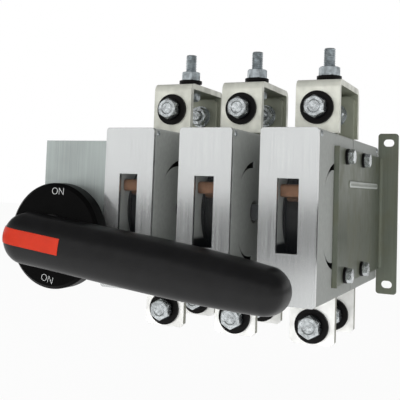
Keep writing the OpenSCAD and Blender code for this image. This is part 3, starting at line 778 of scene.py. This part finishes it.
FINISHES = {
    "satin_aluminium": satin_aluminium,
    "label": brushed_label,
    "thermoset": grey_thermoset,
    "zinc_sheet": zinc_sheet,
    "tin": lambda: tinned_copper("tinned_copper", "tin"),
    "fresh_tin": lambda: tinned_copper("fresh_tinned_copper", "fresh_tin"),
    "bright_zinc": lambda: plated_steel("bright_zinc", "bright_zinc", 0.16),
    "dull_zinc": lambda: plated_steel("dull_zinc", "dull_zinc", 0.3),
    "spring_steel": lambda: plated_steel("spring_steel", "spring_steel", 0.3),
    # Phosphated steel: dry and near black, with a coarse crystal grain
    "black_steel": lambda: moulded(
        "black_phosphated_steel", "phosphate", 0.5, grain=0.9, contrast=0.3, edge=0.6, gloss=0.2
    ),
    # Compression-moulded phenolic: black with an even soft sheen
    "phenolic": lambda: moulded("black_phenolic", "drum", 0.45),
    # Injection-moulded nylon: dark grey and a little duller
    "grey_nylon": lambda: moulded("grey_nylon", "rod", 0.5),
    "copper": bare_copper,
    "window": clear_window,
    # Textured nylon: deep black with hardly any gloss
    "disc_nylon": lambda: moulded(
        "black_nylon", "disc", 0.4, grain=0.8, contrast=0.2, edge=0.8, gloss=0.06
    ),
    # Glass-filled nylon: black and grainy to the touch, with a broad sheen on its crown
    "nylon": lambda: moulded(
        "glass_filled_nylon", "lever", 0.36, grain=1.0, depth=0.07, contrast=0.3, gloss=0.38
    ),
    # Injection-moulded ABS: smooth, even red
    "red_abs": lambda: moulded(
        "red_abs", "insert", 0.34, grain=0.7, depth=0.02, contrast=0.06, gloss=0.2
    ),
    # Pad-printed ink: flat and even
    "ink": lambda: moulded(
        "printing_ink", "print", 0.5, grain=0.5, depth=0.01, contrast=0.05, edge=0.05
    ),
}


def dress(finish_name, *nodes):
    """Gives CAD nodes a finish."""
    for node in nodes:
        slots = frame["nodes"][node].data.materials
        slots.clear()
        slots.append(finish(finish_name))


# ---- Pieces ----


class SWITCH_OT_plates(bpy.types.Operator):
    """Side plates, tie rods, spacers, mechanism housing and its label plate"""

    bl_idname = "switch.plates"
    bl_label = "Plates and mechanism"

    def execute(self, context):
        dress("zinc_sheet", "right_side_plate", "left_side_plate", "mechanism_housing")
        dress("bright_zinc", "tie_rods")
        dress("black_steel", "tie_rod_washers")
        dress("grey_nylon", "pole_spacers")
        dress("label", "front_panel")
        return {"FINISHED"}


class SWITCH_OT_poles(bpy.types.Operator):
    """Pole mouldings, covers, windows and rotors"""

    bl_idname = "switch.poles"
    bl_label = "Poles"

    def execute(self, context):
        dress("thermoset", *[f"{row}_pole_{i}" for row in ROWS for i in POLES])
        dress("satin_aluminium", *[f"{row}_cover_{i}" for row in ROWS for i in POLES])
        dress("window", "front_windows", "rear_windows")
        dress("grey_nylon", "front_shaft", "rear_shaft")
        dress("phenolic", "front_drums", "rear_drums")
        dress("copper", "front_contacts", "rear_contacts")
        return {"FINISHED"}


class SWITCH_OT_cover_screws(bpy.types.Operator):
    """Small screws that hold each cover to the sides of its pole"""

    bl_idname = "switch.cover_screws"
    bl_label = "Cover screws"

    def execute(self, context):
        sizes = context.scene.switch_sizes
        radius, rise = sizes.screw_d / 2, sizes.screw_h
        # A dome: over a quarter turn, the radius follows the cosine and the height the sine
        turn = np.linspace(0, 1, 7) * math.pi / 2
        dome = np.stack([radius * np.cos(turn), rise * np.sin(turn)], -1)
        head = turned(np.concatenate([[[0, 0], [radius, 0]], dome]), sizes.facets)
        # A straight driver slot across the head
        floor = SLOT_FLOOR * rise
        in_slot = (np.abs(head[..., 0]) < SLOT_HALF_WIDTH * MM) & (head[..., 2] > floor)
        head[..., 2] = np.where(in_slot, floor, head[..., 2])
        zinc = finish("bright_zinc")
        for row, inward in ROWS.items():
            screws = []
            for i in POLES:
                low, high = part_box(f"{row}_pole_{i}")
                y = (low.y if inward > 0 else high.y) + inward * SCREW_INSET * MM
                z = high.z - SCREW_INSET * MM
                screws.append(placed(head, "right", (high.x, y, z)))
                screws.append(placed(head, "left", (low.x, y, z)))
            add_piece(f"{row}_cover_screws", screws, zinc, "frame", "zinc_hardware")
        return {"FINISHED"}


class SWITCH_OT_bars(bpy.types.Operator):
    """Bridging bars and terminals"""

    bl_idname = "switch.bars"
    bl_label = "Bars and terminals"

    def execute(self, context):
        dress("tin", *[f"bridge_bar_{i}" for i in POLES])
        dress("tin", *[f"{row}_upper_terminals" for row in ROWS])
        # The lower terminals get the lighter tin, as painted light
        dress("fresh_tin", *[f"{row}_lower_terminals" for row in ROWS])
        return {"FINISHED"}


class SWITCH_OT_contact_jaws(bpy.types.Operator):
    """Fixed copper contacts behind the top of each sight window"""

    bl_idname = "switch.contact_jaws"
    bl_label = "Fixed contacts"

    def execute(self, context):
        sizes = context.scene.switch_sizes
        for row, inward in ROWS.items():
            pane_low, pane_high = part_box(f"{row}_windows")
            inner = pane_high.y if inward > 0 else pane_low.y
            start, top = inner + inward * JAW_BEHIND * MM, pane_high.z - JAW_BELOW * MM
            ends = sorted((start, start + inward * sizes.jaw_t))
            jaws = []
            for x in pole_x:
                low = (x - sizes.jaw_w / 2, ends[0], top - sizes.jaw_h)
                high = (x + sizes.jaw_w / 2, ends[1], top)
                jaws.append(rounded_block(low, high, sizes.facets))
            add_piece(f"{row}_contact_jaws", jaws, finish("copper"), "frame", "copper")
        return {"FINISHED"}


class SWITCH_OT_fasteners(bpy.types.Operator):
    """Bolts and studs with real threads, split spring washers, nuts and washers"""

    bl_idname = "switch.fasteners"
    bl_label = "Fasteners"

    def execute(self, context):
        sizes = context.scene.switch_sizes
        dress("bright_zinc", "terminal_nuts", "terminal_plain_washers")
        dress("dull_zinc", "bridge_stud_nuts")
        dress("black_steel", "terminal_washers", "bridge_stud_washers")
        thread = (sizes.thread_pitch, sizes.thread_depth, sizes.facets)
        bolts, rings, studs = [], [], []
        for x, above, front in itertools.product(pole_x, (True, False), (True, False)):
            low, high = corner("terminal_bolts", x, above, front)
            ring_low, ring_high = corner("terminal_spring_washers", x, above, front)
            z, outer = (low[2] + high[2]) / 2, (ring_high[0] - ring_low[0]) / 2
            # The head is at the end beside the spring washer
            if ring_low[1] - low[1] < high[1] - ring_high[1]:
                faces, runs, seat, end, tip = "front", "back", ring_low[1], low[1], high[1]
            else:
                faces, runs, seat, end, tip = "back", "front", ring_high[1], high[1], low[1]
            across = min(high[2] - low[2], high[0] - low[0])
            head = bolt_head(across, abs(seat - end), sizes.head_dish, sizes.facets)
            shank = threaded(bolt_r, abs(tip - seat), *thread)
            bolts += [placed(head, faces, (x, seat, z)), placed(shank, runs, (x, seat, z))]
            inner, thick = bolt_r + SPRING_PLAY * MM, ring_high[1] - ring_low[1]
            ring = split_ring(inner, outer, thick, sizes.spring_gap, sizes.facets)
            rings.append(placed(ring, "back", (x, ring_low[1], z)))
        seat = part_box("bridge_bar_1")[1].z - bar_t
        for x in pole_x:
            low, high = corner("bridge_studs", x)
            across = min(high[0] - low[0], high[1] - low[1])
            place = (x, (low[1] + high[1]) / 2, seat)
            head = bolt_head(across, seat - low[2], sizes.head_dish, sizes.facets)
            shank = threaded(bolt_r, high[2] - seat, *thread)
            studs += [placed(head, "down", place), placed(shank, "up", place)]
        zinc, dark, dull = (finish(name) for name in ("bright_zinc", "spring_steel", "dull_zinc"))
        hardware = ("frame", "zinc_hardware")
        add_piece("threaded_terminal_bolts", bolts, zinc, *hardware, "terminal_bolts")
        add_piece("split_spring_washers", rings, dark, *hardware, "terminal_spring_washers")
        add_piece("threaded_studs", studs, dull, "frame", "stud_steel", "bridge_studs")
        return {"FINISHED"}


class SWITCH_OT_disc(bpy.types.Operator):
    """Fixed position disc, its collar and the lettering for both closed positions"""

    bl_idname = "switch.disc"
    bl_label = "Position disc"

    def execute(self, context):
        sizes = context.scene.switch_sizes
        dress("disc_nylon", "handle_collar", "handle_disc")
        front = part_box("handle_disc")[0].y
        for name, (right, up, turn) in WORDS.items():
            text = bpy.data.curves.new(name, "FONT")
            text.body = "ON"
            text.size = sizes.letter_h / CAPITAL_HEIGHT
            text.extrude = sizes.letter_t / 2
            text.offset = -STROKE_LOSS * MM
            text.align_x, text.align_y = "CENTER", "CENTER"
            drawn = bpy.data.objects.new(name, text)
            context.scene.collection.objects.link(drawn)
            context.view_layer.update()
            evaluated = drawn.evaluated_get(context.evaluated_depsgraph_get())
            mesh = bpy.data.meshes.new_from_object(evaluated)
            bpy.data.objects.remove(drawn)
            y = front - LETTER_STAND * sizes.letter_t
            spot = Matrix.Translation((shaft.x + right * MM, y, shaft.z + up * MM))
            upright = Matrix.Rotation(math.pi / 2, 4, "X")
            tilt = Matrix.Rotation(math.radians(turn), 4, "Z")
            mesh.transform(spot @ (upright @ tilt) @ Matrix.Diagonal((CAPITAL_WIDTH, 1, 1, 1)))
            mesh.materials.clear()
            finish_piece(mesh, name, finish("ink"), "frame")
        return {"FINISHED"}


class SWITCH_OT_lever(bpy.types.Operator):
    """Lever with a crowned front and rolled edges, and its red insert"""

    bl_idname = "switch.lever"
    bl_label = "Lever"

    def execute(self, context):
        sizes = context.scene.switch_sizes
        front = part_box("handle_grip")[0].y + sizes.insert_proud
        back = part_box("handle_disc")[0].y - sizes.lever_gap
        side = sizes.lever_side
        rise = back - front - side
        # Drawn along +X from the shaft on its centre line, then drooped into place
        shape = np.array(LEVER_HALF_WIDTHS) * MM
        rows = [(0, 0, 0)] + [(1, inset * MM, height * MM) for inset, height in LEVER_ROLL]
        # Shares of the outline from its edge to the spine, closer together near the spine
        crown = np.linspace(1, 0, CROWN_STEPS) ** 1.5
        rows += [(share, 0, crown_height(share, side, rise)) for share in crown]
        grip = lever_surface(shape, rows, sizes.facets)
        neck, low, high = sizes.lever_neck, NECK_CLEAR * MM - sizes.lever_gap, NECK_SINK * MM
        collar = turned([(0, low), (neck, low), (neck, high), (0, high)], sizes.facets)
        collar[..., 1] += LEVER_OFFSET * MM
        extent = (sizes.insert_end, sizes.insert_w)
        insert = insert_surface(shape, *extent, side, rise, sizes.insert_proud, sizes.facets // 2)
        droop = np.array(Matrix.Rotation(math.radians(LEVER_DROOP), 3, "Y"))

        def hung(surface):
            # Height becomes -Y and the lever's own width becomes Z
            along, width, height = np.moveaxis(surface, -1, 0)
            local = np.stack([along, -height, width - LEVER_OFFSET * MM], -1)
            return local @ droop.T + np.array([shaft.x, back, shaft.z])

        black = (finish("nylon"), "lever", "handle_black", "handle_grip", 60)
        red = (finish("red_abs"), "lever", "handle_red", "handle_insert", 50)
        lever = add_piece("lever_grip", [hung(grip), hung(collar)], *black)
        # Its reflection would lie across the satin covers as a hard dark bar
        lever.visible_glossy = False
        add_piece("lever_insert", [hung(insert)], *red)
        return {"FINISHED"}


# ---- Stage ----

WHITE = (1.0, 1.0, 1.0, 1.0)
# Half width of the floor in metres, its gap under the lever's swing in millimetres, and how much
# of it glows white for the camera and in reflections
FLOOR_REACH, FLOOR_GAP, FLOOR_GLOW = 6.0, 10.0, 0.9
# Radius of the dark ring, and its lower and upper edge, in metres
FLAG_RADIUS, FLAG_EDGES = 1.0, (-0.13, -0.007)
FLAG_COLOUR = "#202020"
# Strength of the world's even light and of its ceiling in reflections, and where the ceiling
# starts and is full, as the height of a view line of unit length
WORLD_FILL, CEILING, CEILING_RISE = 0.68, 0.16, (0.17, 0.32)
# Place, width and height in metres, and power in watts
LAMPS = {
    "key": ((-0.2, -1.7, 0.8), (2.4, 2.0), 11.5),
    "bounce": ((-0.1, -1.1, -0.05), (1.6, 0.3), 6.5),
    "fill": ((1.5, -0.6, 0.5), (1.2, 1.2), 0.4),
}
# Place in metres, directions in degrees, focal length in millimetres and lens shift
CAMERA = {
    "place": (0.12268, -0.71251, 0.01715),
    "azimuth": 26.0,
    "elevation": -3.78,
    "roll": 2.13,
    "lens": 64.86,
    "shift": (0.05, -0.15),
}


class SWITCH_OT_stage(bpy.types.Operator):
    """White floor, soft studio light and the camera"""

    bl_idname = "switch.stage"
    bl_label = "Stage"

    def execute(self, context):
        self.floor(context)
        self.flag(context)
        self.world(context)
        self.lamps(context)
        self.camera(context)
        context.scene.view_settings.view_transform = "Standard"
        return {"FINISHED"}

    def floor(self, context):
        """A wide white floor that takes the shadow, low enough for the lever's whole swing."""
        mesh = bpy.data.meshes.new("floor")
        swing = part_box("handle_grip")[1].x - shaft.x
        reach, z = FLOOR_REACH, shaft.z - swing - FLOOR_GAP * MM
        corners = [(-reach, -reach, z), (reach, -reach, z), (reach, reach, z), (-reach, reach, z)]
        mesh.from_pydata(corners, [], [(0, 1, 2, 3)])
        material = bpy.data.materials.new("studio_floor")
        material.use_nodes = True
        tree = material.node_tree
        tree.nodes.clear()
        colour = context.scene.switch_colours.floor
        matt = add(tree, "ShaderNodeBsdfDiffuse", {"Color": colour})
        glow = add(tree, "ShaderNodeEmission", {"Color": WHITE, "Strength": 1.0})
        path = add(tree, "ShaderNodeLightPath").outputs
        rays = (path["Is Camera Ray"], path["Is Glossy Ray"])
        seen = add(tree, "ShaderNodeMath", rays, operation="ADD")
        share = add(tree, "ShaderNodeMath", (seen, FLOOR_GLOW), operation="MULTIPLY")
        mixed = add(tree, "ShaderNodeMixShader", (share, matt, glow))
        add(tree, "ShaderNodeOutputMaterial", {"Surface": mixed})
        mesh.materials.append(material)
        floor = bpy.data.objects.new("floor", mesh)
        context.scene.collection.objects.link(floor)

    def flag(self, context):
        """A low dark ring round the stage that only reflections see: the far edge of a studio."""
        ring = turned([(FLAG_RADIUS, edge) for edge in FLAG_EDGES], 96)
        ring += np.array([*centre(cad_box)[:2], 0.0])
        mesh = bpy.data.meshes.new("horizon_flag")
        mesh.from_pydata(ring.reshape(-1, 3).tolist(), [], grid_faces(ring.shape, 0).tolist())
        material = bpy.data.materials.new("black_flag")
        material.use_nodes = True
        surface = material.node_tree.nodes["Principled BSDF"]
        surface.inputs["Base Color"].default_value = linear(FLAG_COLOUR)
        mesh.materials.append(material)
        flag = bpy.data.objects.new("horizon_flag", mesh)
        flag.visible_camera = flag.visible_diffuse = flag.visible_shadow = False
        flag.visible_transmission = False
        context.scene.collection.objects.link(flag)

    def world(self, context):
        """Even light on the object and white for the camera.

        Reflections see white up to a few degrees over the horizon and a dim ceiling above that.
        """
        world = bpy.data.worlds.new("studio")
        context.scene.world = world
        world.use_nodes = True
        tree = world.node_tree
        tree.nodes.clear()
        path = add(tree, "ShaderNodeLightPath").outputs
        rays = (path["Is Glossy Ray"], path["Is Transmission Ray"])
        seen = add(tree, "ShaderNodeMath", rays, operation="ADD")
        way = add(tree, "ShaderNodeTexCoord").outputs["Generated"]
        rise = add(tree, "ShaderNodeSeparateXYZ", (way,)).outputs[2]
        ceiling = add(tree, "ShaderNodeMapRange", (rise, *CEILING_RISE, 1.0, CEILING))
        fill, room, white = (
            add(tree, "ShaderNodeBackground", {"Color": WHITE, "Strength": strength})
            for strength in (WORLD_FILL, ceiling, 1.0)
        )
        lit = add(tree, "ShaderNodeMixShader", (seen, fill, room))
        mixed = add(tree, "ShaderNodeMixShader", (path["Is Camera Ray"], lit, white))
        add(tree, "ShaderNodeOutputWorld", {"Surface": mixed})

    def lamps(self, context):
        """A large key from the front left and above, a low bounce in front and a fill on the right.

        Reflections leave the lamps out: they see the room instead.
        """
        aim = centre(cad_box)
        for name, (place, size, power) in LAMPS.items():
            light = bpy.data.lights.new(name, "AREA")
            light.shape, light.size, light.size_y, light.energy = "RECTANGLE", *size, power
            lamp = bpy.data.objects.new(name, light)
            lamp.location = place
            lamp.rotation_euler = (aim - Vector(place)).to_track_quat("-Z", "Y").to_euler()
            lamp.visible_glossy = False
            context.scene.collection.objects.link(lamp)

    def camera(self, context):
        """Stands a little to the right, at mid height, and looks at the switch."""
        data = bpy.data.cameras.new("camera")
        data.lens, data.sensor_width = CAMERA["lens"], 36.0
        data.shift_x, data.shift_y = CAMERA["shift"]
        data.clip_start, data.clip_end = 0.01, 50.0
        camera = bpy.data.objects.new("camera", data)
        turn = Matrix.Rotation(math.radians(CAMERA["azimuth"]), 4, "Z")
        tilt = Matrix.Rotation(math.radians(90 - CAMERA["elevation"]), 4, "X")
        roll = Matrix.Rotation(math.radians(CAMERA["roll"]), 4, "Z")
        camera.matrix_world = Matrix.Translation(CAMERA["place"]) @ turn @ tilt @ roll
        context.scene.collection.objects.link(camera)
        context.scene.camera = camera


class SWITCH_PT_panel(bpy.types.Panel):
    """Lists the switch's sizes, colours and build steps"""

    bl_idname = "SWITCH_PT_panel"
    bl_label = "Changeover Switch"
    bl_space_type = "VIEW_3D"
    bl_region_type = "UI"
    bl_category = "Switch"

    def draw(self, context):
        for group in (context.scene.switch_sizes, context.scene.switch_colours):
            box = self.layout.box()
            for name in group.__annotations__:
                box.prop(group, name)
        for operator in OPERATORS:
            self.layout.operator(operator.bl_idname)


OPERATORS = (
    SWITCH_OT_plates,
    SWITCH_OT_poles,
    SWITCH_OT_cover_screws,
    SWITCH_OT_contact_jaws,
    SWITCH_OT_bars,
    SWITCH_OT_fasteners,
    SWITCH_OT_disc,
    SWITCH_OT_lever,
    SWITCH_OT_stage,
)
CLASSES = (SwitchSizes, SwitchColours, *OPERATORS, SWITCH_PT_panel)


def register():
    for cls in CLASSES:
        bpy.utils.register_class(cls)
    bpy.types.Scene.switch_sizes = PointerProperty(type=SwitchSizes)
    bpy.types.Scene.switch_colours = PointerProperty(type=SwitchColours)


def unregister():
    del bpy.types.Scene.switch_colours
    del bpy.types.Scene.switch_sizes
    for cls in reversed(CLASSES):
        bpy.utils.unregister_class(cls)


def main():
    """Builds every piece and the stage."""
    register()
    for operator in OPERATORS:
        group, step = operator.bl_idname.split(".")
        getattr(getattr(bpy.ops, group), step)()


if __name__ == "__main__":
    main()
